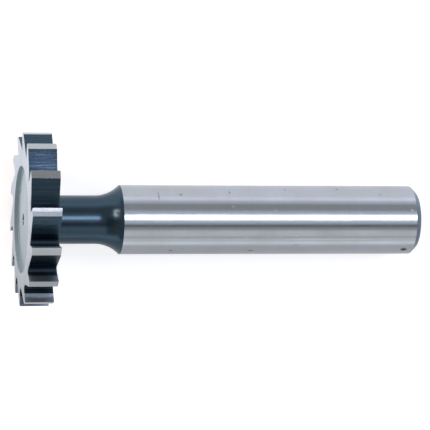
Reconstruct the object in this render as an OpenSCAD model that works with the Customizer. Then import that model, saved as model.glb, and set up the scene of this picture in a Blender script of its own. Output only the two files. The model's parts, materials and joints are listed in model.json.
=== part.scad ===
// T-slot cutter with a straight-toothed disc head, a slim neck and a plain parallel shank.
// One piece of high-speed steel, shown as it lies at rest: on two neighbouring teeth and the end of its shank.
// The tool is modelled along its own axis, front face at z = 0 and shank towards +z, and then laid down.

/* [Head] */
// Diameter over the tooth tips
head_d = 30; // [26:0.5:40]
// Width of the head over its side edges
head_w = 5; // [4:0.5:8]
// Diameter of the round recess in the front face
recess_d = 18.5; // [12:0.5:21]
// Depth of the round recess in the front face
recess_depth = 0.7; // [0.3:0.1:1.5]

/* [Teeth] */
// Number of teeth
teeth = 14; // [10:1:16]
// Depth of the gullets below the tooth tips
tooth_depth = 2.9; // [2:0.1:3.4]
// Rake of the cutting faces, in degrees
rake = 10; // [0:1:15]
// Width of the ground land behind each cutting edge
land_w = 1.5; // [0.8:0.1:2]
// Clearance angle of the lands, in degrees
land_relief = 7; // [3:1:12]
// Clearance angle of the tooth sides, in degrees
side_relief = 2.5; // [1:0.5:4]
// Radius in the bottom of the gullets
gullet_r = 0.6; // [0.3:0.1:0.8]

/* [Neck] */
// Diameter of the neck
neck_d = 8.4; // [6:0.2:10]
// Distance from the front face to the start of the full shank
reach = 16.85; // [14:0.05:24]
// Radius of the hollow flare from the neck to the shank
flare_r = 6; // [3:0.5:8]
// Radius in the corner between the neck and the head
neck_root_r = 0.5; // [0.3:0.1:1]

/* [Shank] */
// Diameter of the shank
shank_d = 12; // [10:0.5:16]
// Overall length of the tool
total_l = 70; // [50:1:100]
// Chamfer on the free end of the shank
end_chamfer = 1; // [0.5:0.1:1.5]

/* [Centre holes] */
// Mouth of the centre hole in the front face
front_centre_d = 1.6; // [1.2:0.1:3]
// Mouth of the centre hole in the end of the shank
end_centre_d = 3.4; // [2:0.1:5]
// Depth of a centre hole's straight part, in diameters of that part
pilot_ratio = 1.2; // [0.8:0.1:2]

/* [Hidden] */

ground_steel = [0.76, 0.78, 0.81];
black_oxide = [0.16, 0.20, 0.24];

$fn = 96;

// Margin by which a cutting shape stands out of what it cuts
over = 1;
// Flat steps that make up the round bottom of a gullet
gullet_steps = 6;
// Mouth of a centre hole over the diameter of its straight part, and the angle of its cone
centre_mouth_ratio = 2.12;
centre_cone = 60;

head_r = head_d / 2;
neck_r = neck_d / 2;
shank_r = shank_d / 2;

// Teeth
pitch = 360 / teeth;
gullet_floor_r = head_r - tooth_depth;
// The tooth sides are relieved down to this core, just below the gullets
core_r = gullet_floor_r - gullet_r / 2;
// Straight length of a cutting face, from the tip to the round bottom of the gullet
face_l = head_r * cos(rake)
    - sqrt(pow(gullet_floor_r + gullet_r, 2) - pow(head_r * sin(rake) - gullet_r, 2));
tip = [head_r, 0];
heel = tip + land_w * [-sin(land_relief), cos(land_relief)];
// Inward along the cutting face, and behind it
face_in = [-cos(rake), sin(rake)];
face_behind = [sin(rake), cos(rake)];
// Centre of the round bottom of the gullet behind this tooth, in front of the next one
gullet_centre = turned(tip + face_l * face_in - gullet_r * face_behind, pitch);
heel_side = heel - gullet_centre;
// Where the round bottom leaves the tooth's back, and where it reaches the next cutting face
back_angle = atan2(heel_side.y, heel_side.x) - acos(gullet_r / norm(heel_side));
face_angle = pitch + 90 - rake - 360;
// Extent of a tooth's side behind its cutting face, and inward from its tip to the core
side_run = (gullet_centre - tip) * face_behind;
side_in = (turned([core_r, 0], pitch) - tip) * face_in;

// Neck: level at which the flare leaves it
flare_l = sqrt(pow(flare_r, 2) - pow(flare_r - (shank_r - neck_r), 2));
flare_z = reach - flare_l;

// Rest: the head lies on a heel and on the next tip, with the flat between them straight down
rest_flat = turned(tip, pitch) - heel;
first_tip = 90 - atan2(rest_flat.y, rest_flat.x);
rest_r = turned(heel, first_tip).x;
// Tilt of the axis, and the height and the ends of the laid-down tool
rest_tilt = atan((rest_r - shank_r) / (total_l - end_chamfer - head_w));
rest_h = rest_r * cos(rest_tilt) + head_w * sin(rest_tilt);
rest_x_min = -rest_r * sin(rest_tilt);
rest_x_max = total_l * cos(rest_tilt) + (shank_r - end_chamfer) * sin(rest_tilt);

function turned(p, angle) = [p.x * cos(angle) - p.y * sin(angle), p.x * sin(angle) + p.y * cos(angle)];
function on_circle(centre, r, angle) = centre + r * [cos(angle), sin(angle)];

// Outline of one tooth and of the gullet behind it, from its tip to the next cutting face
tooth_outline = [
    tip,
    heel,
    for (i = [0 : gullet_steps])
        on_circle(gullet_centre, gullet_r, back_angle + (face_angle - back_angle) * i / gullet_steps)
];

module toothed_disc() {
    linear_extrude(head_w)
        polygon([for (k = [0 : teeth - 1]) for (p = tooth_outline) turned(p, first_tip + k * pitch)]);
}

// Wedge ground off one side of a tooth: nothing at its side edge, and deeper behind it
module side_grind() {
    translate([head_r, 0, 0])
        rotate([0, 0, -rake])
            rotate([side_relief, 0, 0])
                translate([-side_in, 0, -over])
                    cube([side_in + over, side_run, over]);
}

module relieved_teeth() {
    difference() {
        toothed_disc();
        for (k = [0 : teeth - 1]) {
            rotate([0, 0, first_tip + k * pitch]) {
                side_grind();
                translate([0, 0, head_w])
                    mirror([0, 0, 1])
                        side_grind();
            }
        }
    }
}

// Centre hole as a solid, with its mouth at z = 0 and its straight part towards +z
module centre_drilling(mouth_d) {
    pilot_d = mouth_d / centre_mouth_ratio;
    cone_l = (mouth_d - pilot_d) / 2 / tan(centre_cone / 2);
    pilot_l = pilot_ratio * pilot_d;
    rotate_extrude()
        polygon([
            [0, -over],
            [mouth_d / 2, -over],
            [mouth_d / 2, 0],
            [pilot_d / 2, cone_l],
            [pilot_d / 2, cone_l + pilot_l],
            [0, cone_l + pilot_l + pilot_d / 2 / tan(centre_cone)]
        ]);
}

module head() {
    color(ground_steel) {
        cylinder(r = core_r, h = head_w);
        relieved_teeth();
    }
}

// Neck with the small radius at its foot, rooted in the head
module neck() {
    color(black_oxide)
        rotate_extrude()
            difference() {
                union() {
                    translate([0, head_w / 2])
                        square([neck_r, flare_z - head_w / 2]);
                    translate([0, head_w / 2])
                        square([neck_r + neck_root_r, head_w / 2 + neck_root_r]);
                }
                translate([neck_r + neck_root_r, head_w + neck_root_r])
                    circle(r = neck_root_r);
            }
}

module shank() {
    difference() {
        color(ground_steel)
            rotate_extrude()
                polygon([
                    [0, flare_z],
                    [shank_r, flare_z],
                    [shank_r, total_l - end_chamfer],
                    [shank_r - end_chamfer, total_l],
                    [0, total_l]
                ]);
        color(black_oxide)
            translate([0, 0, flare_z])
                rotate_extrude()
                    translate([neck_r + flare_r, 0])
                        circle(r = flare_r);
    }
}

// Round recess of the front face, and the centre holes in both ends
module turned_hollows() {
    color(ground_steel)
        translate([0, 0, -over])
            cylinder(d = recess_d, h = recess_depth + over);
    color(black_oxide) {
        translate([0, 0, recess_depth])
            centre_drilling(front_centre_d);
        translate([0, 0, total_l])
            mirror([0, 0, 1])
                centre_drilling(end_centre_d);
    }
}

// Lays the tool down, head towards -x, on a surface at z = 0 with its middle over the origin
module at_rest() {
    translate([-(rest_x_min + rest_x_max) / 2, 0, rest_h])
        rotate([0, 90 + rest_tilt, 0])
            children();
}

module cutter() {
    at_rest()
        difference() {
            union() {
                head();
                neck();
                shank();
            }
            turned_hollows();
        }
}

cutter();
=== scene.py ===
"""A straight-toothed T-slot cutter, modelled, finished and lit as it lies on a pale floor."""

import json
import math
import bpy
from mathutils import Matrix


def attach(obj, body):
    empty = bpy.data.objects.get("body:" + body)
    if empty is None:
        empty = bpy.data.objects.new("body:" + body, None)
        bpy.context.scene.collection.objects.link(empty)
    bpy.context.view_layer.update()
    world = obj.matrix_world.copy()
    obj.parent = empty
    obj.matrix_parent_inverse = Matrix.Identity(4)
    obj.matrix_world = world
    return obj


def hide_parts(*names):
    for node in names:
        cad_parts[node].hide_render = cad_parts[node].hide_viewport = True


bl_info = {
    "name": "T-slot cutter",
    "version": (1, 0, 0),
    "blender": (4, 5, 0),
    "location": "View3D > Sidebar > Cutter",
    "description": "Models a ground and blackened T-slot cutter and sets it on a studio floor",
    "category": "Object",
}

from typing import NamedTuple

import bmesh
import bpy
from bpy.props import FloatProperty, FloatVectorProperty, IntProperty, PointerProperty
from mathutils import Matrix, Vector

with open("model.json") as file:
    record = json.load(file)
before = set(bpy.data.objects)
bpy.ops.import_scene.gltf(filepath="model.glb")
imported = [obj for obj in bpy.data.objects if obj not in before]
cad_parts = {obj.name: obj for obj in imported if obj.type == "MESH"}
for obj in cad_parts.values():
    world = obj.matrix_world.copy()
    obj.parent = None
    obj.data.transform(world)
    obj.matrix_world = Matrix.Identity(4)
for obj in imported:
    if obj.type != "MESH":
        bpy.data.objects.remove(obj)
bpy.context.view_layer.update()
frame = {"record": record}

MM = 0.001
# Points closer than this are one point, and a place is found to within it
WELD = 0.002 * MM

MOUNTS = {mount["name"]: mount for mount in frame["record"]["mounts"]}
TOOL_AXIS = Vector(MOUNTS["shank"]["axis"]).normalized()
SHANK_MIDDLE = Vector(MOUNTS["shank"]["pos_m"])
SHANK_LENGTH = MOUNTS["shank"]["dims"]["length_mm"] * MM
# In mm, like the places of the marks
SHANK_RADIUS = MOUNTS["shank"]["dims"]["r_mm"]
SIDEWAYS = Vector((0, 1, 0))
OVER_AXIS = TOOL_AXIS.cross(SIDEWAYS)

# Facets round the tool for each tooth, and along a gullet's round bottom, the flare and the small radii
FACETS_PER_TOOTH = 12
GULLET_STEPS = 7
FLARE_STEPS = 20
ROOT_STEPS = 6


class CutterSizes(bpy.types.PropertyGroup):
    """Sizes of the cutter."""

    head_diameter: FloatProperty(
        name="Head diameter", description="Diameter over the tooth tips", default=30 * MM, unit="LENGTH")
    head_width: FloatProperty(
        name="Head width", description="Width over the side edges", default=5 * MM, unit="LENGTH")
    recess_diameter: FloatProperty(
        name="Recess diameter", description="Round recess in the front", default=18.5 * MM, unit="LENGTH")
    recess_depth: FloatProperty(
        name="Recess depth", description="Depth of that recess at its wall", default=0.78 * MM, unit="LENGTH")
    recess_rise: FloatProperty(
        name="Recess rise", description="Rise of its floor to the middle", default=0.4 * MM, unit="LENGTH")
    recess_round: FloatProperty(
        name="Recess round", description="Radius at the foot of its wall", default=0.25 * MM, unit="LENGTH")
    teeth: IntProperty(
        name="Teeth", description="Number of teeth", default=14, min=10, max=16)
    tooth_depth: FloatProperty(
        name="Tooth depth", description="Depth of the gullets", default=3.1 * MM, unit="LENGTH")
    rake: FloatProperty(
        name="Rake", description="Rake of the cutting faces", default=math.radians(10), subtype="ANGLE")
    ground_face: FloatProperty(
        name="Ground face", description="Ground part of a cutting face, from its edge", default=1.75 * MM,
        unit="LENGTH")
    land_width: FloatProperty(
        name="Land width", description="Ground land behind a cutting edge", default=1.42 * MM, unit="LENGTH")
    land_relief: FloatProperty(
        name="Land relief", description="Clearance of the land at its heel", default=math.radians(10),
        subtype="ANGLE")
    edge_land_width: FloatProperty(
        name="Edge land width", description="First facet of the land, at the cutting edge", default=0.64 * MM,
        unit="LENGTH")
    edge_land_relief: FloatProperty(
        name="Edge land relief", description="Clearance of that facet", default=math.radians(8.3),
        subtype="ANGLE")
    side_relief: FloatProperty(
        name="Side relief", description="Clearance of the tooth sides", default=math.radians(1.5),
        subtype="ANGLE")
    side_runout: FloatProperty(
        name="Side run-out", description="Slope from a tooth's side up to the core", default=0.4 * MM,
        unit="LENGTH")
    gullet_radius: FloatProperty(
        name="Gullet radius", description="Round bottom of the gullets", default=0.6 * MM, unit="LENGTH")
    neck_diameter: FloatProperty(
        name="Neck diameter", description="Diameter of the neck", default=8.4 * MM, unit="LENGTH")
    neck_root: FloatProperty(
        name="Neck root", description="Radius between neck and head", default=0.5 * MM, unit="LENGTH")
    reach: FloatProperty(
        name="Reach", description="Front face to the start of the shank", default=17 * MM, unit="LENGTH")
    flare_radius: FloatProperty(
        name="Flare radius", description="Hollow flare from neck to shank", default=6 * MM, unit="LENGTH")
    shank_diameter: FloatProperty(
        name="Shank diameter", description="Diameter of the shank", default=2 * SHANK_RADIUS * MM,
        unit="LENGTH")
    total_length: FloatProperty(
        name="Total length", description="Overall length of the tool", default=70 * MM, unit="LENGTH")
    end_chamfer: FloatProperty(
        name="End chamfer", description="Chamfer on the shank's end", default=1 * MM, unit="LENGTH")
    front_centre: FloatProperty(
        name="Front centre", description="Mouth of the front centre hole", default=2.1 * MM, unit="LENGTH")
    end_centre: FloatProperty(
        name="End centre", description="Mouth of the end centre hole", default=3.4 * MM, unit="LENGTH")
    rest_turn: FloatProperty(
        name="Rest turn", description="Turn of the tooth ring as the head lies on two teeth",
        default=math.radians(-14.5487), subtype="ANGLE")
    edge_ease: FloatProperty(
        name="Edge ease", description="Width of the eased edges", default=0.03 * MM, unit="LENGTH")


class CutterFinish(bpy.types.PropertyGroup):
    """Colours and roughness of the cutter's surfaces."""

    ground_steel: FloatVectorProperty(
        name="Ground steel", description="Bright ground shank", default=(0.435, 0.475, 0.525),
        subtype="COLOR")
    side_steel: FloatVectorProperty(
        name="Side steel", description="Ground sides of the head", default=(0.57, 0.63, 0.7), subtype="COLOR")
    recess_steel: FloatVectorProperty(
        name="Recess steel", description="Turned recess floor", default=(0.48, 0.54, 0.595), subtype="COLOR")
    side_shade: FloatVectorProperty(
        name="Side shade", description="Dulled parts of sides", default=(0.42, 0.47, 0.53), subtype="COLOR")
    dull_steel: FloatVectorProperty(
        name="Dull steel", description="Steel dulled by use", default=(0.375, 0.39, 0.41), subtype="COLOR")
    land_steel: FloatVectorProperty(
        name="Land steel", description="Ground lands", default=(0.45, 0.495, 0.51), subtype="COLOR")
    rake_steel: FloatVectorProperty(
        name="Rake steel", description="Blued cutting faces", default=(0.2, 0.245, 0.305), subtype="COLOR")
    # Painted highlight: a bright bluish colour laid on one cutting face as the strip lamp's reflection
    rubbed_steel: FloatVectorProperty(
        name="Rubbed steel", description="Face rubbed bright", default=(0.7, 0.85, 1.0), subtype="COLOR")
    # Dull steel of the recess wall, darkened as painted shade inside the recess
    wall_steel: FloatVectorProperty(
        name="Wall steel", description="Dull recess wall", default=(0.36, 0.465, 0.51), subtype="COLOR")
    black_oxide: FloatVectorProperty(
        name="Black oxide", description="Blue-black oxide", default=(0.038, 0.065, 0.089), subtype="COLOR")
    gullet_oxide: FloatVectorProperty(
        name="Gullet oxide", description="Oxide in gullets", default=(0.022, 0.036, 0.052), subtype="COLOR")
    # Painted reflection: a lighter blue oxide laid on one tooth's back where the strip lamp is mirrored
    blue_oxide: FloatVectorProperty(
        name="Blue oxide", description="Oxide tempered blue", default=(0.066, 0.108, 0.17), subtype="COLOR")
    thin_oxide: FloatVectorProperty(
        name="Thin oxide", description="Oxide where it is thin", default=(0.049, 0.08, 0.11), subtype="COLOR")
    end_oxide: FloatVectorProperty(
        name="End oxide", description="Oxide on the shank's end and in the centre holes",
        default=(0.155, 0.215, 0.285), subtype="COLOR")
    pit: FloatVectorProperty(
        name="Pit", description="Dark pits and specks", default=(0.03, 0.03, 0.035), subtype="COLOR")
    bright: FloatVectorProperty(
        name="Bright", description="Rubbed and scratched spots", default=(0.75, 0.76, 0.77), subtype="COLOR")
    brown: FloatVectorProperty(
        name="Brown", description="Oil dried on the flare", default=(0.11, 0.095, 0.06), subtype="COLOR")
    straw: FloatVectorProperty(
        name="Straw", description="Straw-coloured stains", default=(0.5, 0.4, 0.17), subtype="COLOR")
    shank_rough: FloatProperty(
        name="Shank roughness", description="Roughness of the shank", default=0.16, subtype="FACTOR")
    side_rough: FloatProperty(
        name="Side roughness", description="Roughness of the ground sides", default=0.28, subtype="FACTOR")
    recess_rough: FloatProperty(
        name="Recess roughness", description="Roughness of the recess floor", default=0.45, subtype="FACTOR")
    wall_rough: FloatProperty(
        name="Wall roughness", description="Roughness of the recess's wall", default=0.75, subtype="FACTOR")
    land_rough: FloatProperty(
        name="Land roughness", description="Roughness of the ground lands", default=0.13, subtype="FACTOR")
    rake_rough: FloatProperty(
        name="Rake roughness", description="Roughness of the cutting faces", default=0.48, subtype="FACTOR")
    neck_rough: FloatProperty(
        name="Neck roughness", description="Roughness of the neck", default=0.19, subtype="FACTOR")
    back_rough: FloatProperty(
        name="Back roughness", description="Roughness of the tooth backs", default=0.25, subtype="FACTOR")
    gullet_rough: FloatProperty(
        name="Gullet roughness", description="Roughness of the gullets", default=0.55, subtype="FACTOR")


class CutterStudio(bpy.types.PropertyGroup):
    """Camera, floor and lamps."""

    lens: FloatProperty(
        name="Lens", description="Focal length on a 36 mm frame", default=209.0, unit="CAMERA")
    distance: FloatProperty(
        name="Distance", description="Camera to the tool's axis", default=435.577 * MM, unit="LENGTH")
    station: FloatProperty(
        name="Station", description="Where on the axis the camera looks", default=34.028 * MM, unit="LENGTH")
    lift: FloatProperty(
        name="Lift", description="Shift of the camera across the axis", default=0.82 * MM, unit="LENGTH")
    lean: FloatProperty(
        name="Lean", description="Turn of the view towards the front face", default=math.radians(11.8935),
        subtype="ANGLE")
    turn: FloatProperty(
        name="Turn", description="Turn of the view about the tool's axis", default=math.radians(6.9862),
        subtype="ANGLE")
    roll: FloatProperty(
        name="Roll", description="Turn of the picture", default=math.radians(0.0619), subtype="ANGLE")
    floor_colour: FloatVectorProperty(
        name="Floor", description="Colour of the floor", default=(0.66, 0.67, 0.68), subtype="COLOR")
    floor_white: FloatProperty(
        name="Floor white", description="White added to the floor near the tool where it is seen",
        default=0.57, subtype="FACTOR")
    floor_glow: FloatProperty(
        name="Floor glow", description="White added to the floor where it is mirrored", default=0.5,
        subtype="FACTOR")
    glow_colour: FloatVectorProperty(
        name="Glow colour", description="Cool white of that glow", default=(0.95, 1.0, 1.06), subtype="COLOR")
    room_colour: FloatVectorProperty(
        name="Room", description="Light of the room overhead", default=(0.43, 0.44, 0.45), subtype="COLOR")
    strip_light: FloatProperty(
        name="Strip light", description="Brightness of the long lamp overhead", default=4.8)
    halo_light: FloatProperty(
        name="Halo light", description="Brightness of the soft sheet round that lamp", default=0.3)
    wash_light: FloatProperty(
        name="Wash light", description="Brightness of the cool panel behind", default=0.35)
    fill_light: FloatProperty(
        name="Fill light", description="Brightness of the panel in front", default=0.48)
    spot_light: FloatProperty(
        name="Spot light", description="Brightness of the small warm lamp at the head's end", default=8.0)


def turned(point, angle):
    """The point turned about the tool's axis."""
    return Matrix.Rotation(angle, 3, "Z") @ Vector(point)


class ToothShape:
    """Places on one tooth, whose cutting edge lies at angle 0 about the axis."""

    def __init__(self, sizes):
        radius = sizes.head_diameter / 2
        round_r = sizes.gullet_radius
        floor_r = radius - sizes.tooth_depth
        self.width = sizes.head_width
        self.pitch = 2 * math.pi / sizes.teeth
        self.relief = math.tan(sizes.side_relief)
        # The core starts a little under the floor of the gullets
        self.core_r = floor_r - round_r / 2
        self.tip = Vector((radius, 0, 0))
        edge_land = Vector((-math.sin(sizes.edge_land_relief), math.cos(sizes.edge_land_relief), 0))
        heel_land = Vector((-math.sin(sizes.land_relief), math.cos(sizes.land_relief), 0))
        self.land_break = self.tip + sizes.edge_land_width * edge_land
        self.heel = self.land_break + (sizes.land_width - sizes.edge_land_width) * heel_land
        face_in = Vector((-math.cos(sizes.rake), math.sin(sizes.rake), 0))
        self.behind = Vector((math.sin(sizes.rake), math.cos(sizes.rake), 0))
        offset = radius * math.sin(sizes.rake) - round_r
        face_l = radius * math.cos(sizes.rake) - math.sqrt((floor_r + round_r) ** 2 - offset ** 2)
        self.foot = self.tip + face_l * face_in
        self.face_break = self.tip + sizes.ground_face * face_in
        centre = turned(self.foot - round_r * self.behind, self.pitch)
        to_heel = self.heel - centre
        first = math.atan2(to_heel.y, to_heel.x) - math.acos(round_r / to_heel.length)
        last = self.pitch + math.pi / 2 - sizes.rake - 2 * math.pi
        self.gullet = []
        for i in range(GULLET_STEPS + 1):
            angle = first + (last - first) * i / GULLET_STEPS
            self.gullet.append(centre + round_r * Vector((math.cos(angle), math.sin(angle), 0)))
        self.start = math.atan2(self.foot.y, self.foot.x)
        self.back = math.atan2(self.gullet[0].y, self.gullet[0].x)

    def sunk(self, point):
        """The point, lowered onto the relieved side of the tooth."""
        depth = max(0.0, (point - self.tip).dot(self.behind)) * self.relief
        return Vector((point.x, point.y, depth))


def new_plane(size):
    """A new square, alone selected and in edit mode."""
    bpy.ops.object.select_all(action="DESELECT")
    bpy.ops.mesh.primitive_plane_add(size=size)
    bpy.ops.object.mode_set(mode="EDIT")
    bpy.ops.mesh.select_mode(type="VERT")
    bpy.ops.mesh.select_all(action="SELECT")
    return bpy.context.object


def trace(name, points):
    """A chain of edges, drawn by extruding one vertex from point to point."""
    piece = new_plane(MM)
    piece.name = name
    bpy.ops.mesh.merge(type="CENTER")
    bpy.ops.transform.translate(value=points[0])
    for start, end in zip(points, points[1:]):
        bpy.ops.mesh.extrude_vertices_move(TRANSFORM_OT_translate={"value": end - start})
    return piece


def patch(name, points):
    """A face with this outline."""
    piece = trace(name, points)
    bpy.ops.mesh.select_all(action="SELECT")
    bpy.ops.mesh.edge_face_add()
    bpy.ops.object.mode_set(mode="OBJECT")
    return piece


def joined(*pieces):
    """The pieces as one, in edit mode, with the points that meet made one."""
    bpy.ops.object.select_all(action="DESELECT")
    for piece in pieces:
        piece.select_set(True)
    bpy.context.view_layer.objects.active = pieces[0]
    bpy.ops.object.join()
    bpy.ops.object.mode_set(mode="EDIT")
    weld()
    return pieces[0]


def weld():
    """Merges the points that meet."""
    bpy.ops.mesh.select_all(action="SELECT")
    bpy.ops.mesh.remove_doubles(threshold=WELD)


def pick(piece, kind, wanted):
    """Selects only the edges or faces that the test holds for, and returns their number."""
    bpy.ops.mesh.select_mode(type=kind)
    bpy.ops.mesh.select_all(action="DESELECT")
    shape = bmesh.from_edit_mesh(piece.data)
    shape.normal_update()
    parts = shape.edges if kind == "EDGE" else shape.faces
    found = [part for part in parts if wanted(part)]
    for part in found:
        part.select_set(True)
    shape.select_flush_mode()
    bmesh.update_edit_mesh(piece.data)
    return len(found)


def radius_of(place):
    """Distance of a place from the tool's axis, while the tool stands on its front face."""
    return math.hypot(place.x, place.y)


def draw_edges_out(scale):
    """Extrudes the selected edges and scales the new ones about the origin."""
    bpy.ops.mesh.extrude_edges_move()
    bpy.ops.transform.resize(value=scale, center_override=(0, 0, 0))


class CUTTER_OT_teeth(bpy.types.Operator):
    """Model one tooth with its gullet and copy it round the head"""

    bl_idname = "cutter.teeth"
    bl_label = "Tooth ring"
    bl_options = {"REGISTER", "UNDO"}

    def execute(self, context):
        sizes = context.scene.cutter_sizes
        shape = ToothShape(sizes)
        tooth = self.lay_out_side(shape)
        self.fill_in_to_the_recess(tooth, sizes, shape)
        self.wall_up(tooth, shape)
        self.copy_round(sizes, shape)
        bpy.ops.object.mode_set(mode="OBJECT")
        return {"FINISHED"}

    def lay_out_side(self, shape):
        """The relieved side of one tooth and the side of its gullet, which rises to the next edge."""
        core = []
        for i in range(FACETS_PER_TOOTH + 1):
            angle = shape.start + shape.pitch * i / FACETS_PER_TOOTH
            core.append(shape.sunk(turned((shape.core_r, 0, 0), angle)))
        core[0].z = 0
        under_back = int((shape.back - shape.start) / shape.pitch * FACETS_PER_TOOTH)
        web_steps = FACETS_PER_TOOTH - under_back
        for i in range(1, web_steps + 1):
            core[under_back + i].z = core[under_back].z * (1 - i / web_steps)
        gullet = [shape.sunk(point) for point in shape.gullet]
        for i in range(GULLET_STEPS + 1):
            gullet[i].z = gullet[0].z * (1 - i / GULLET_STEPS)
        land = [shape.tip, shape.sunk(shape.land_break), shape.sunk(shape.heel)]
        flank = [shape.foot, shape.face_break] + land + [gullet[0]]
        side = patch("tooth_side", flank + core[under_back::-1])
        web = patch("gullet_side", gullet + core[:under_back - 1:-1])
        tooth = joined(side, web)
        tooth.name = "tooth_ring"
        return tooth

    def fill_in_to_the_recess(self, tooth, sizes, shape):
        """Runs the side out to the flat core, and the core in to the edge of the recess."""
        flat_r = shape.core_r - sizes.side_runout
        pick(tooth, "EDGE", lambda e: all(abs(radius_of(v.co) - shape.core_r) < WELD for v in e.verts))
        run_out = flat_r / shape.core_r
        draw_edges_out((run_out, run_out, 0))
        to_recess = sizes.recess_diameter / 2 / flat_r
        draw_edges_out((to_recess, to_recess, 1))

    def wall_up(self, tooth, shape):
        """Draws the outline to the middle of the head's width and mirrors the half tooth there."""
        middle = (0, 0, shape.width / 2)
        pick(tooth, "EDGE", lambda e: all(radius_of(v.co) > shape.core_r + WELD for v in e.verts))
        bpy.ops.mesh.extrude_edges_move()
        bpy.ops.transform.resize(value=(1, 1, 0), center_override=middle)
        bpy.ops.mesh.select_all(action="SELECT")
        bpy.ops.mesh.duplicate()
        bpy.ops.transform.resize(value=(1, 1, -1), center_override=middle)
        weld()
        pick(tooth, "EDGE", lambda e: all(abs(v.co.z - shape.width / 2) < WELD for v in e.verts))
        bpy.ops.mesh.dissolve_edges(use_verts=True)

    def copy_round(self, sizes, shape):
        """Copies the tooth round the axis."""
        copies = sizes.teeth - 1
        bpy.ops.mesh.select_all(action="SELECT")
        bpy.ops.mesh.spin(
            steps=copies, dupli=True, angle=copies * shape.pitch, center=(0, 0, 0), axis=(0, 0, 1))
        weld()


def arc(centre, radius, first, last, steps):
    """Points along an arc, as radius and height."""
    points = []
    for i in range(steps + 1):
        angle = first + (last - first) * i / steps
        points.append((centre[0] + radius * math.cos(angle), centre[1] + radius * math.sin(angle)))
    return points


# A centre hole: its mouth over its bore, half the angle of its cone, the bore's depth over the bore's radius
# and half the angle of the drill's point
MOUTH_TO_BORE = 2.12
CONE_HALF_ANGLE = math.radians(30)
BORE_DEPTH = 2.4
POINT_HALF_ANGLE = math.radians(60)


def centre_hole(mouth, level, inward):
    """Section of a centre hole, from its mouth to the axis."""
    bore_r = mouth / 2 / MOUTH_TO_BORE
    cone = (mouth / 2 - bore_r) / math.tan(CONE_HALF_ANGLE)
    depth = cone + BORE_DEPTH * bore_r
    point = depth + bore_r / math.tan(POINT_HALF_ANGLE)
    return [
        (mouth / 2, level),
        (bore_r, level + inward * cone),
        (bore_r, level + inward * depth),
        (0, level + inward * point),
    ]


class CUTTER_OT_stem(bpy.types.Operator):
    """Turn the recess, the neck and the shank"""

    bl_idname = "cutter.stem"
    bl_label = "Recess, neck and shank"
    bl_options = {"REGISTER", "UNDO"}

    def execute(self, context):
        sizes = context.scene.cutter_sizes
        shape = ToothShape(sizes)
        recess = self.turn("recess", self.recess_section(sizes), sizes, shape)
        stem = self.turn("stem", self.stem_section(sizes), sizes, shape)
        joined(stem, recess)
        bpy.ops.object.mode_set(mode="OBJECT")
        return {"FINISHED"}

    def recess_section(self, sizes):
        """Section of the front recess, from its edge to the axis."""
        edge_r = sizes.recess_diameter / 2
        corner = sizes.recess_round
        section = [(edge_r, 0)]
        section += arc((edge_r - corner, sizes.recess_depth - corner), corner, 0, math.pi / 2, ROOT_STEPS)
        return section + centre_hole(sizes.front_centre, sizes.recess_depth - sizes.recess_rise, 1)

    def stem_section(self, sizes):
        """Section from the back of the head to the axis at the shank's end."""
        neck_r = sizes.neck_diameter / 2
        shank_r = sizes.shank_diameter / 2
        root = sizes.neck_root
        flare = sizes.flare_radius
        rise = math.acos(1 - (shank_r - neck_r) / flare)
        flare_start = sizes.reach - flare * math.sin(rise)
        section = [(sizes.recess_diameter / 2, sizes.head_width)]
        section += arc((neck_r + root, sizes.head_width + root), root, 1.5 * math.pi, math.pi, ROOT_STEPS)
        section += arc((neck_r + flare, flare_start), flare, math.pi, math.pi - rise, FLARE_STEPS)
        section += [(shank_r, sizes.total_length - sizes.end_chamfer)]
        section += [(shank_r - sizes.end_chamfer, sizes.total_length)]
        return section + centre_hole(sizes.end_centre, sizes.total_length, -1)

    def turn(self, name, section, sizes, shape):
        """Draws a section and spins it round the axis."""
        points = [turned((r, 0, 0), shape.start) + Vector((0, 0, z)) for r, z in section]
        piece = trace(name, points)
        bpy.ops.mesh.select_all(action="SELECT")
        bpy.ops.mesh.spin(
            steps=sizes.teeth * FACETS_PER_TOOTH, angle=2 * math.pi, center=(0, 0, 0), axis=(0, 0, 1))
        weld()
        bpy.ops.object.mode_set(mode="OBJECT")
        return piece


# How far a face may turn from the axis to be a side or a floor, and from straight out or straight round to
# be a land or a cutting face
FLAT_ENOUGH = math.radians(40)
LAND_ENOUGH = math.radians(20)
# Least share of a cutting face's direction that points inward
UNDERCUT = 0.12


def finish_of(face, sizes):
    """Name of the finish on a face, while the tool stands on its front face."""
    place = face.calc_center_median()
    radius = radius_of(place)
    outward = Vector((place.x, place.y, 0)).normalized()
    around = Vector((-outward.y, outward.x, 0))
    in_centre_hole = radius < max(sizes.front_centre, sizes.end_centre) / 2
    if in_centre_hole or place.z > sizes.total_length - sizes.end_chamfer:
        return "end_oxide"
    if place.z > sizes.head_width + WELD:
        return "shank_ground" if place.z > sizes.reach else "neck_oxide"
    if radius < sizes.recess_diameter / 2 + WELD and place.z < sizes.head_width - WELD:
        return "recess_wall" if abs(face.normal.z) < math.cos(FLAT_ENOUGH) else "recess_turned"
    if abs(face.normal.z) > math.cos(FLAT_ENOUGH):
        return "side_ground"
    land_level = sizes.head_diameter / 2 - sizes.land_width / 2
    if radius > land_level and face.normal.dot(outward) > math.cos(LAND_ENOUGH):
        return "land_ground"
    if face.normal.dot(around) < -math.cos(LAND_ENOUGH) and face.normal.dot(outward) < -UNDERCUT:
        ground_level = sizes.head_diameter / 2 - sizes.ground_face
        return "rake_ground" if radius > ground_level else "gullet_oxide"
    gullet_level = sizes.head_diameter / 2 - sizes.tooth_depth + sizes.gullet_radius
    return "gullet_oxide" if radius < gullet_level else "tooth_oxide"


# Edges that bend by more than this are eased, with this many facets, and those between the facets of a land,
# which bend by less than the last angle, stay sharp
SHARP_BEND = math.radians(30)
EASE_FACETS = 2
FACET_BEND = math.radians(10)


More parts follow.
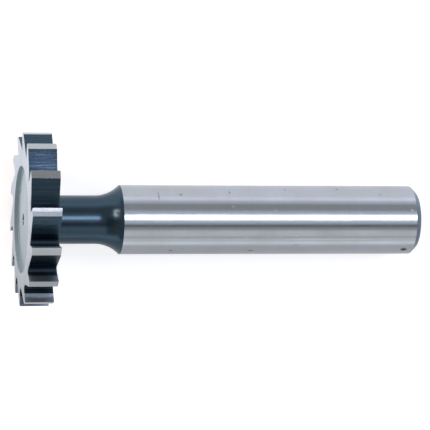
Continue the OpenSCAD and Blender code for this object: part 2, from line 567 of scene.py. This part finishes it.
class CUTTER_OT_finish(bpy.types.Operator):
    """Weld the tool, give each surface its finish, ease the edges and lay the tool down"""

    bl_idname = "cutter.finish"
    bl_label = "Weld, finish and lay down"
    bl_options = {"REGISTER", "UNDO"}

    def execute(self, context):
        sizes = context.scene.cutter_sizes
        tool = joined(bpy.data.objects["stem"], bpy.data.objects["tooth_ring"])
        tool.name = "cutter_steel"
        bpy.ops.mesh.select_all(action="SELECT")
        bpy.ops.mesh.normals_make_consistent(inside=False)
        open_edges = pick(tool, "EDGE", lambda e: not e.is_manifold)
        if open_edges:
            raise RuntimeError(f"the tool has {open_edges} open edges")
        self.paint(context, tool, sizes)
        self.ease_edges(tool, sizes)
        bpy.ops.object.mode_set(mode="OBJECT")
        self.lay_down(tool, sizes)
        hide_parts("cutter")
        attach(tool, "root")
        return {"FINISHED"}

    def paint(self, context, tool, sizes):
        """Gives each face its finish."""
        lay = tool_placement(sizes)
        for name in FINISHES:
            tool.data.materials.append(finish_material(name, context.scene.cutter_finish, lay))
        for index, name in enumerate(FINISHES):
            pick(tool, "FACE", lambda f: finish_of(f, sizes) == name)
            tool.active_material_index = index
            bpy.ops.object.material_slot_assign()

    def ease_edges(self, tool, sizes):
        """Breaks every sharp edge with a narrow round, and keeps the two facets of a land apart."""
        pick(tool, "EDGE", lambda e: e.calc_face_angle(0) > SHARP_BEND)
        bpy.ops.mesh.bevel(offset=sizes.edge_ease, segments=EASE_FACETS, affect="EDGES", clamp_overlap=True)
        land = list(FINISHES).index("land_ground")
        least = (sizes.land_relief - sizes.edge_land_relief) / 2
        pick(tool, "EDGE", lambda e: least < e.calc_face_angle(0) < FACET_BEND
             and all(f.material_index == land for f in e.link_faces))
        bpy.ops.mesh.mark_sharp()

    def lay_down(self, tool, sizes):
        """Lays the tool on the floor, head towards -X, and evens out its shading."""
        bpy.ops.object.select_all(action="DESELECT")
        tool.select_set(True)
        bpy.context.view_layer.objects.active = tool
        tool.matrix_world = tool_placement(sizes) @ Matrix.Rotation(sizes.rest_turn, 4, "Z")
        bpy.ops.object.transform_apply(location=True, rotation=True, scale=True)
        bpy.ops.object.shade_smooth()
        even = tool.modifiers.new("even_shading", "WEIGHTED_NORMAL")
        even.keep_sharp = True
        bpy.ops.object.modifier_apply(modifier=even.name)


def tool_placement(sizes):
    """Where the tool lies: from its own axes, front face at z = 0 and shank towards +z."""
    shank_end = sizes.total_length - sizes.end_chamfer
    front = SHANK_MIDDLE - (shank_end - SHANK_LENGTH / 2) * TOOL_AXIS
    axes = Matrix((-OVER_AXIS, SIDEWAYS, TOOL_AXIS)).transposed()
    return Matrix.Translation(front) @ axes.to_4x4()


class Nodes:
    """Adds nodes to one tree, with their values and links."""

    def __init__(self, tree):
        self.tree = tree

    def add(self, kind, values=None, **settings):
        made = self.tree.nodes.new("ShaderNode" + kind)
        for name, setting in settings.items():
            setattr(made, name, setting)
        for socket, value in (values or {}).items():
            self.set(made.inputs[socket], value)
        return made

    def set(self, socket, value):
        if isinstance(value, bpy.types.NodeSocket):
            self.tree.links.new(value, socket)
        else:
            socket.default_value = value

    def math(self, operation, *values, clamp=False):
        made = self.add("Math", dict(enumerate(values)), operation=operation, use_clamp=clamp)
        return made.outputs[0]

    def vector(self, operation, *values):
        made = self.add("VectorMath", dict(enumerate(values)), operation=operation)
        return made.outputs["Value" if operation == "LENGTH" else "Vector"]

    def mix(self, factor, first, second):
        """Two colours mixed, on the sockets that the node keeps for colours."""
        made = self.add("Mix", {0: factor, 6: first, 7: second}, data_type="RGBA")
        return made.outputs[2]

    def cover(self, colour, mask, share, paint):
        """A colour with paint over it, by a share of the mask."""
        return self.mix(self.math("MULTIPLY", mask, share), colour, paint)

    def ramp(self, value, low, high, to_low=0.0, to_high=1.0):
        """A value moved from one range to another, and kept inside it."""
        made = self.add("MapRange", {0: value, 1: low, 2: high, 3: to_low, 4: to_high})
        return made.outputs[0]

    def noise(self, place, detail, roughness=0.5, scale=1.0):
        """Noise whose largest lumps are about one unit of the place over the scale."""
        values = {"Vector": place, "Scale": scale, "Detail": detail, "Roughness": roughness}
        return self.add("TexNoise", values).outputs[0]

    def group(self, tree, **values):
        return self.add("Group", values, node_tree=tree).outputs[0]


def new_group(name, output, **inputs):
    """A shader group with one value as output: its nodes, its inputs and where the output goes."""
    tree = bpy.data.node_groups.new(name, "ShaderNodeTree")
    for label, kind in inputs.items():
        tree.interface.new_socket(label, in_out="INPUT", socket_type="NodeSocket" + kind)
    tree.interface.new_socket(output, in_out="OUTPUT", socket_type="NodeSocketFloat")
    given = tree.nodes.new("NodeGroupInput").outputs
    result = tree.nodes.new("NodeGroupOutput").inputs[0]
    return Nodes(tree), given, result


# Noise that counts as none and as full, in the lines and in the clouds
LINE_RANGE = (0.3, 0.7)
CLOUD_RANGE = (0.35, 0.68)
# Where a speck ends and where it is full, from the middle of its cell and in cells
SPECK_RANGE = (0.16, 0.06)
# Where a mark ends and where it is full, in half sizes with the noise added, and that noise's lumps per mm
MARK_RANGE = (1.5, 0.9)
RAGGED_SCALE = 4.0


def lines_group():
    """Fine marks of the grinding wheel or the cutter: noise drawn out, and laid in rings where asked."""
    nodes, given, result = new_group("fine_lines", "Lines", Place="Vector", Stretch="Vector", Rings="Float")
    split = nodes.add("SeparateXYZ", {0: given["Place"]}).outputs
    flat = nodes.add("CombineXYZ", {0: split[0], 1: split[1]}).outputs[0]
    ring = nodes.math("MULTIPLY", nodes.vector("LENGTH", flat), given["Rings"])
    drawn = nodes.vector("MULTIPLY", given["Place"], given["Stretch"])
    place = nodes.vector("ADD", drawn, nodes.add("CombineXYZ", {2: ring}).outputs[0])
    nodes.set(result, nodes.ramp(nodes.noise(place, detail=3.0, roughness=0.6), *LINE_RANGE))
    return nodes.tree


def clouds_group():
    """Slow changes of tone, as handling and oil leave them."""
    nodes, given, result = new_group("clouds", "Clouds", Place="Vector", Size="Float")
    place = nodes.vector("DIVIDE", given["Place"], given["Size"])
    nodes.set(result, nodes.ramp(nodes.noise(place, detail=4.0, roughness=0.55), *CLOUD_RANGE))
    return nodes.tree


def specks_group():
    """Scattered small specks, in a share of the cells."""
    nodes, given, result = new_group("specks", "Specks", Place="Vector", Size="Float", Share="Float")
    place = nodes.vector("DIVIDE", given["Place"], given["Size"])
    cells = nodes.add("TexVoronoi", {"Vector": place, "Scale": 1.0})
    dot = nodes.ramp(cells.outputs["Distance"], *SPECK_RANGE)
    chance = nodes.add("SeparateColor", {0: cells.outputs["Color"]}).outputs[0]
    nodes.set(result, nodes.math("MULTIPLY", dot, nodes.math("LESS_THAN", chance, given["Share"])))
    return nodes.tree


def mark_group():
    """One mark with a ragged edge."""
    nodes, given, result = new_group("mark", "Mark", Place="Vector", Centre="Vector", Reach="Vector")
    away = nodes.vector("DIVIDE", nodes.vector("SUBTRACT", given["Place"], given["Centre"]), given["Reach"])
    ragged = nodes.noise(given["Place"], detail=2.0, scale=RAGGED_SCALE)
    distance = nodes.math("ADD", nodes.vector("LENGTH", away), ragged)
    nodes.set(result, nodes.ramp(distance, *MARK_RANGE))
    return nodes.tree


GROUP_MAKERS = {"fine_lines": lines_group, "clouds": clouds_group, "specks": specks_group, "mark": mark_group}


def shared(name):
    """The shader group of this name, made when it is first asked for."""
    return bpy.data.node_groups.get(name) or GROUP_MAKERS[name]()


def rgba(colour):
    """A colour with full alpha."""
    return (*colour, 1.0)


class Finish(NamedTuple):
    """One finish, in mm: the properties of its colours and roughness, and what it is covered with.

    Its fine lines have a density along each axis or across rings, and a depth. Its ripple has a height, and
    specks and glints show in a share of their cells.
    """

    colour: str
    worn: str
    rough: str
    stretch: tuple
    depth: float
    rings: float = 0.0
    ripple: float = 0.0
    speck_share: float = 0.03
    glint_share: float = 0.0


FINISHES = {
    "shank_ground": Finish(
        "ground_steel", "dull_steel", "shank_rough", stretch=(0.15, 0.15, 6), depth=0.0004, ripple=0.0016,
        speck_share=0.05, glint_share=0.1),
    "side_ground": Finish(
        "side_steel", "side_shade", "side_rough", stretch=(0.8, 0.8, 0), rings=3, depth=0.0015),
    "recess_turned": Finish(
        "recess_steel", "side_shade", "recess_rough", stretch=(0.1, 0.1, 0), rings=6, depth=0.003),
    # The recess wall is rough, dull steel darkened with painted shade
    "recess_wall": Finish(
        "wall_steel", "wall_steel", "wall_rough", stretch=(0.2, 0.2, 4), depth=0.001),
    "land_ground": Finish(
        "land_steel", "dull_steel", "land_rough", stretch=(6, 6, 0.4), depth=0.0008, ripple=0.001,
        speck_share=0.02),
    "rake_ground": Finish(
        "rake_steel", "rake_steel", "rake_rough", stretch=(3, 3, 0.5), depth=0.001, speck_share=0,
        glint_share=0.004),
    "neck_oxide": Finish(
        "black_oxide", "thin_oxide", "neck_rough", stretch=(0.2, 0.2, 5), depth=0.0008, ripple=0.002,
        speck_share=0.04, glint_share=0.004),
    "tooth_oxide": Finish(
        "black_oxide", "thin_oxide", "back_rough", stretch=(1.9, 1.9, 0.09), depth=0.026,
        speck_share=0.02, glint_share=0.004),
    "gullet_oxide": Finish(
        "gullet_oxide", "black_oxide", "gullet_rough", stretch=(2.3, 2.3, 0.25), depth=0.01,
        speck_share=0.02),
    "end_oxide": Finish(
        "end_oxide", "thin_oxide", "back_rough", stretch=(0.2, 0.2, 2), rings=4, depth=0.0015),
}


class Mark(NamedTuple):
    """A single mark, in mm and degrees: its colour's property and strength, its place and its half sizes.

    Its place is along the tool from its front face, and round it from straight over the axis towards +Y.
    """

    colour: str
    tone: float
    station: float
    angle: float
    along: float
    across: float
    radius: float = SHANK_RADIUS


MARKS = {
    "shank_ground": (
        Mark("pit", 1.0, 67.3, -53, 0.75, 0.65),
        Mark("pit", 0.8, 39.7, -56, 0.7, 0.25),
        Mark("pit", 0.6, 25.6, -55.5, 0.4, 0.3),
        Mark("pit", 0.5, 55.2, 69, 0.3, 0.35),
        Mark("pit", 0.45, 62.7, 54, 0.2, 0.2),
        Mark("pit", 0.45, 27.4, -48, 0.25, 0.2),
        Mark("pit", 0.4, 35.8, 59, 0.2, 0.5),
        Mark("pit", 0.4, 27.1, 53, 0.4, 0.3),
        Mark("pit", 0.35, 45.8, 67, 0.25, 0.3),
        Mark("pit", 0.35, 23.2, 50, 0.2, 1.2),
        Mark("bright", 0.9, 68.1, 23.5, 0.25, 0.3),
        Mark("bright", 0.7, 36.1, 29, 0.25, 0.15),
        Mark("bright", 0.5, 43.6, 22.6, 0.2, 0.2),
        Mark("bright", 0.35, 53, -27, 12, 0.08),
        Mark("straw", 0.6, 24, 68, 0.35, 0.4),
    ),
    "side_ground": (
        Mark("straw", 0.85, 0, 43, 0.5, 0.6, radius=11.3),
        Mark("straw", 0.85, 0, 20.6, 0.5, 0.6, radius=11.8),
    ),
    "neck_oxide": (
        Mark("brown", 0.45, 15.6, -8, 0.9, 1.3, radius=5.4),
        Mark("brown", 0.35, 16.2, 16, 0.5, 0.7, radius=5.6),
    ),
    "tooth_oxide": (
        # Painted reflection of the strip lamp, as lighter blue oxide on one tooth's back
        Mark("blue_oxide", 0.85, 2.5, 53, 3.6, 2.6, radius=13.4),
    ),
    "rake_ground": (
        # Painted highlight: the strip lamp's reflection laid across one cutting face
        Mark("rubbed_steel", 1.0, 2.5, -63.5, 3.6, 0.75, radius=13.55),
    ),
}

# Sizes of the clouds and of the ripple, and spacing of the specks and glints, in mm
CLOUD_SIZE = 7.0
RIPPLE_SIZE = 2.0
SPECK_SPACING = 1.6
GLINT_SPACING = 0.8
# How strongly each shows in the colour, and the roughness that the clouds add
CLOUD_TONE = 0.6
LINE_TONE = 0.3
SPECK_TONE = 0.7
GLINT_TONE = 0.6
HAZE = 0.05


def mark_place(mark):
    """Where a mark lies, in the tool's own axes and in mm."""
    angle = math.radians(mark.angle)
    return (-mark.radius * math.cos(angle), mark.radius * math.sin(angle), mark.station)


def finish_material(name, finishes, lay):
    """The material of one finish, in the tool's own axes."""
    finish = FINISHES[name]
    material = bpy.data.materials.new(name)
    material.use_nodes = True
    tree = material.node_tree
    nodes = Nodes(tree)
    shader = tree.nodes["Principled BSDF"]
    here = nodes.add("TexCoord").outputs["Object"]
    place = nodes.add("Mapping", {
        "Vector": here, "Location": lay.translation, "Rotation": lay.to_euler(), "Scale": (MM, MM, MM),
    }, vector_type="TEXTURE").outputs[0]
    lines = nodes.group(shared("fine_lines"), Place=place, Stretch=finish.stretch, Rings=finish.rings)
    clouds = nodes.group(shared("clouds"), Place=place, Size=CLOUD_SIZE)
    specks = nodes.group(shared("specks"), Place=place, Size=SPECK_SPACING, Share=finish.speck_share)
    glints = nodes.group(shared("specks"), Place=place, Size=GLINT_SPACING, Share=finish.glint_share)
    worn = rgba(getattr(finishes, finish.worn))
    colour = nodes.cover(rgba(getattr(finishes, finish.colour)), clouds, CLOUD_TONE, worn)
    colour = nodes.cover(colour, lines, LINE_TONE, worn)
    colour = nodes.cover(colour, specks, SPECK_TONE, rgba(finishes.pit))
    colour = nodes.cover(colour, glints, GLINT_TONE, rgba(finishes.bright))
    # Marks: pits, rubbed spots, stains and dried oil, and also a painted reflection and a painted highlight
    for mark in MARKS.get(name, ()):
        reach = (mark.across, mark.across, mark.along)
        seen = nodes.group(shared("mark"), Place=place, Centre=mark_place(mark), Reach=reach)
        colour = nodes.cover(colour, seen, mark.tone, rgba(getattr(finishes, mark.colour)))
    least_rough = getattr(finishes, finish.rough)
    rough = nodes.ramp(clouds, 0, 1, least_rough, least_rough + HAZE)
    ripple = nodes.group(shared("clouds"), Place=place, Size=RIPPLE_SIZE)
    swell = nodes.add("Bump", {"Height": ripple, "Distance": finish.ripple * MM})
    bump = nodes.add("Bump", {"Height": lines, "Distance": finish.depth * MM, "Normal": swell.outputs[0]})
    nodes.set(shader.inputs["Base Color"], colour)
    nodes.set(shader.inputs["Roughness"], rough)
    nodes.set(shader.inputs["Normal"], bump.outputs[0])
    shader.inputs["Metallic"].default_value = 1.0
    return material


class Lamp(NamedTuple):
    """A panel that faces the line under the tool, in metres and degrees.

    Its angle about that line is from straight over it towards +Y, and its spread is the angle that it fills.
    """

    angle: float
    spread: float
    reach: float
    along: float
    length: float
    colour: tuple


LAMPS = {
    "strip": Lamp(angle=15, spread=14, reach=0.9, along=0.53, length=0.8, colour=(1.06, 1.0, 1.12)),
    "wash": Lamp(angle=77, spread=27, reach=1.1, along=0.1, length=2.4, colour=(0.92, 0.98, 1.14)),
    "fill": Lamp(angle=-55, spread=52, reach=1.1, along=0.1, length=2.4, colour=(1.0, 1.0, 1.0)),
    "spot": Lamp(angle=34, spread=27, reach=0.8, along=-0.85, length=0.5, colour=(1.42, 1.06, 0.84)),
    "halo": Lamp(angle=16, spread=44, reach=0.95, along=0.53, length=0.8, colour=(0.85, 1.0, 1.25)),
}
# Cards that only the steel mirrors: two as thin dark lines along the shank, and two as grey in the head
BLACK = (0.02, 0.02, 0.02)
FLAGS = (
    Lamp(angle=-14, spread=5, reach=0.85, along=0.3, length=1.4, colour=BLACK),
    Lamp(angle=-55, spread=2, reach=0.85, along=0.3, length=1.4, colour=BLACK),
    Lamp(angle=-8, spread=46, reach=0.9, along=-0.8, length=1.2, colour=(0.2, 0.29, 0.33)),
    Lamp(angle=-46, spread=28, reach=0.9, along=-0.8, length=1.2, colour=(0.33, 0.42, 0.44)),
)


def panel_place(panel):
    """Where a panel hangs."""
    angle = math.radians(panel.angle)
    out = math.cos(angle) * Vector((0, 0, 1)) + math.sin(angle) * SIDEWAYS
    ahead = Vector((1, 0, 0))
    axes = Matrix((ahead, out.cross(ahead), out)).transposed()
    return Matrix.Translation(panel.reach * out + panel.along * ahead) @ axes.to_4x4()


def panel_width(panel):
    """Width that gives a panel its spread."""
    return 2 * panel.reach * math.tan(math.radians(panel.spread) / 2)


def hang_lamp(name, panel, brightness):
    """A panel lamp of this brightness, out of the camera's sight."""
    data = bpy.data.lights.new(name, "AREA")
    data.shape = "RECTANGLE"
    data.size = panel.length
    data.size_y = panel_width(panel)
    data.color = panel.colour
    data.energy = brightness * math.pi * data.size * data.size_y
    lamp = bpy.data.objects.new(name, data)
    bpy.context.scene.collection.objects.link(lamp)
    lamp.matrix_world = panel_place(panel)
    lamp.visible_camera = False


WHITE = (1, 1, 1, 1)
FLOOR_SIZE = 6.0
# Distances from the tool from which the floor turns white, and at which it is
FLOOR_NEAR = 0.2
FLOOR_FAR = 1.0
# Shares of its glow with which the floor is mirrored in front of the tool and behind it, and how far
# from the axis the one has turned into the other
FRONT_SHARE = 0.15
BACK_SHARE = 0.92
TURN_OVER = 0.015
# Ahead of the head, from between these two places on, the floor is mirrored with these shares more
AHEAD_START = -0.0355
AHEAD_FULL = -0.037
AHEAD_FRONT_SHARE = 0.1
AHEAD_BACK_SHARE = 0.7
# Heights of a direction at which the room is still white, and is down to its grey
HORIZON_WHITE = 0.16
ROOM_GREY = 0.3
# Width of the camera's frame, in mm
FRAME_WIDTH = 36


class CUTTER_OT_stage(bpy.types.Operator):
    """Lay the floor, hang the lamps and set up the camera"""

    bl_idname = "cutter.stage"
    bl_label = "Floor, lamps and camera"
    bl_options = {"REGISTER", "UNDO"}

    def execute(self, context):
        studio = context.scene.cutter_studio
        sizes = context.scene.cutter_sizes
        context.scene.view_settings.view_transform = "Standard"
        self.lay_floor(studio)
        self.light_room(context, studio)
        self.hang_lamps(studio)
        self.hang_flags()
        self.set_camera(context, studio, sizes)
        return {"FINISHED"}

    def lay_floor(self, studio):
        """A wide pale floor, white to the eye and in reflections, which keeps the shadow."""
        floor = new_plane(FLOOR_SIZE)
        bpy.ops.object.mode_set(mode="OBJECT")
        floor.name = "studio_floor"
        shader, nodes = self.matt_material(floor, studio.floor_colour)
        path = nodes.add("LightPath")
        here = nodes.add("TexCoord").outputs["Object"]
        split = nodes.add("SeparateXYZ", {0: here}).outputs
        behind = nodes.ramp(split[1], -TURN_OVER, TURN_OVER, FRONT_SHARE, BACK_SHARE)
        ahead = nodes.ramp(split[0], AHEAD_START, AHEAD_FULL)
        more = nodes.ramp(split[1], -TURN_OVER, TURN_OVER, AHEAD_FRONT_SHARE, AHEAD_BACK_SHARE)
        share = nodes.math("ADD", behind, nodes.math("MULTIPLY", ahead, more), clamp=True)
        mirrored = nodes.math("MAXIMUM", path.outputs["Is Glossy Ray"], path.outputs["Is Transmission Ray"])
        mirrored = nodes.math("MULTIPLY", mirrored, nodes.math("MULTIPLY", share, studio.floor_glow))
        away = nodes.ramp(nodes.vector("LENGTH", here), FLOOR_NEAR, FLOOR_FAR, studio.floor_white, 1.0)
        seen = nodes.math("MULTIPLY", path.outputs["Is Camera Ray"], away)
        glow = nodes.mix(path.outputs["Is Camera Ray"], rgba(studio.glow_colour), WHITE)
        nodes.set(shader.inputs["Emission Color"], glow)
        nodes.set(shader.inputs["Emission Strength"], nodes.math("MAXIMUM", seen, mirrored))

    def matt_material(self, piece, colour):
        """Gives a piece of the stage a matt material of its own, and returns its shader and nodes."""
        material = bpy.data.materials.new(piece.name)
        material.use_nodes = True
        shader = material.node_tree.nodes["Principled BSDF"]
        shader.inputs["Base Color"].default_value = rgba(colour)
        shader.inputs["Roughness"].default_value = 1.0
        shader.inputs["Specular IOR Level"].default_value = 0.0
        piece.data.materials.append(material)
        return shader, Nodes(material.node_tree)

    def light_room(self, context, studio):
        """A grey room that turns white towards the horizon."""
        world = bpy.data.worlds.new("studio_room")
        context.scene.world = world
        world.use_nodes = True
        nodes = Nodes(world.node_tree)
        way = nodes.add("TexCoord").outputs["Generated"]
        height = nodes.add("SeparateXYZ", {0: way}).outputs[2]
        overhead = nodes.ramp(height, HORIZON_WHITE, ROOM_GREY)
        colour = nodes.mix(overhead, WHITE, rgba(studio.room_colour))
        nodes.set(world.node_tree.nodes["Background"].inputs["Color"], colour)

    def hang_lamps(self, studio):
        """A strip overhead with a soft sheet round it, panels behind and in front, and a small warm lamp."""
        for name, panel in LAMPS.items():
            hang_lamp(name, panel, getattr(studio, name + "_light"))

    def hang_flags(self):
        """Cards beside the lamps that show only in reflections and cast no shadow."""
        for card in FLAGS:
            flag = new_plane(1)
            bpy.ops.transform.resize(value=(card.length, panel_width(card), 1))
            bpy.ops.object.mode_set(mode="OBJECT")
            flag.name = "studio_flag"
            flag.matrix_world = panel_place(card)
            flag.visible_camera = False
            flag.visible_diffuse = False
            flag.visible_shadow = False
            self.matt_material(flag, card.colour)

    def set_camera(self, context, studio, sizes):
        """The photograph's view: a long lens, square over the tool but for a lean and a turn."""
        towards = OVER_AXIS * math.cos(studio.turn) + SIDEWAYS * math.sin(studio.turn)
        up = SIDEWAYS * math.cos(studio.turn) - OVER_AXIS * math.sin(studio.turn)
        back = towards * math.cos(studio.lean) - TOOL_AXIS * math.sin(studio.lean)
        right = TOOL_AXIS * math.cos(studio.lean) + towards * math.sin(studio.lean)
        front = tool_placement(sizes).translation
        place = front + studio.station * TOOL_AXIS + studio.distance * back + studio.lift * up
        axes = Matrix((right, up, back)).transposed().to_4x4()
        data = bpy.data.cameras.new("photo_view")
        data.lens = studio.lens
        data.sensor_width = FRAME_WIDTH
        camera = bpy.data.objects.new("photo_view", data)
        context.scene.collection.objects.link(camera)
        camera.matrix_world = Matrix.Translation(place) @ axes @ Matrix.Rotation(studio.roll, 4, "Z")
        context.scene.camera = camera


class CUTTER_PT_tools(bpy.types.Panel):
    """Steps and sizes of the cutter"""

    bl_idname = "CUTTER_PT_tools"
    bl_label = "T-slot cutter"
    bl_space_type = "VIEW_3D"
    bl_region_type = "UI"
    bl_category = "Cutter"

    def draw(self, context):
        for step in STEPS:
            self.layout.operator(step.bl_idname)
        for name, group in GROUPS.items():
            box = self.layout.box()
            for prop in group.__annotations__:
                box.prop(getattr(context.scene, name), prop)


STEPS = (CUTTER_OT_teeth, CUTTER_OT_stem, CUTTER_OT_finish, CUTTER_OT_stage)
GROUPS = {"cutter_sizes": CutterSizes, "cutter_finish": CutterFinish, "cutter_studio": CutterStudio}


def register():
    for group in GROUPS.values():
        bpy.utils.register_class(group)
    for name, group in GROUPS.items():
        setattr(bpy.types.Scene, name, PointerProperty(type=group))
    for step in STEPS:
        bpy.utils.register_class(step)
    bpy.utils.register_class(CUTTER_PT_tools)


def unregister():
    bpy.utils.unregister_class(CUTTER_PT_tools)
    for step in reversed(STEPS):
        bpy.utils.unregister_class(step)
    for name, group in GROUPS.items():
        delattr(bpy.types.Scene, name)
        bpy.utils.unregister_class(group)


def main():
    register()
    bpy.ops.cutter.teeth()
    bpy.ops.cutter.stem()
    bpy.ops.cutter.finish()
    bpy.ops.cutter.stage()


if __name__ == "__main__":
    main()
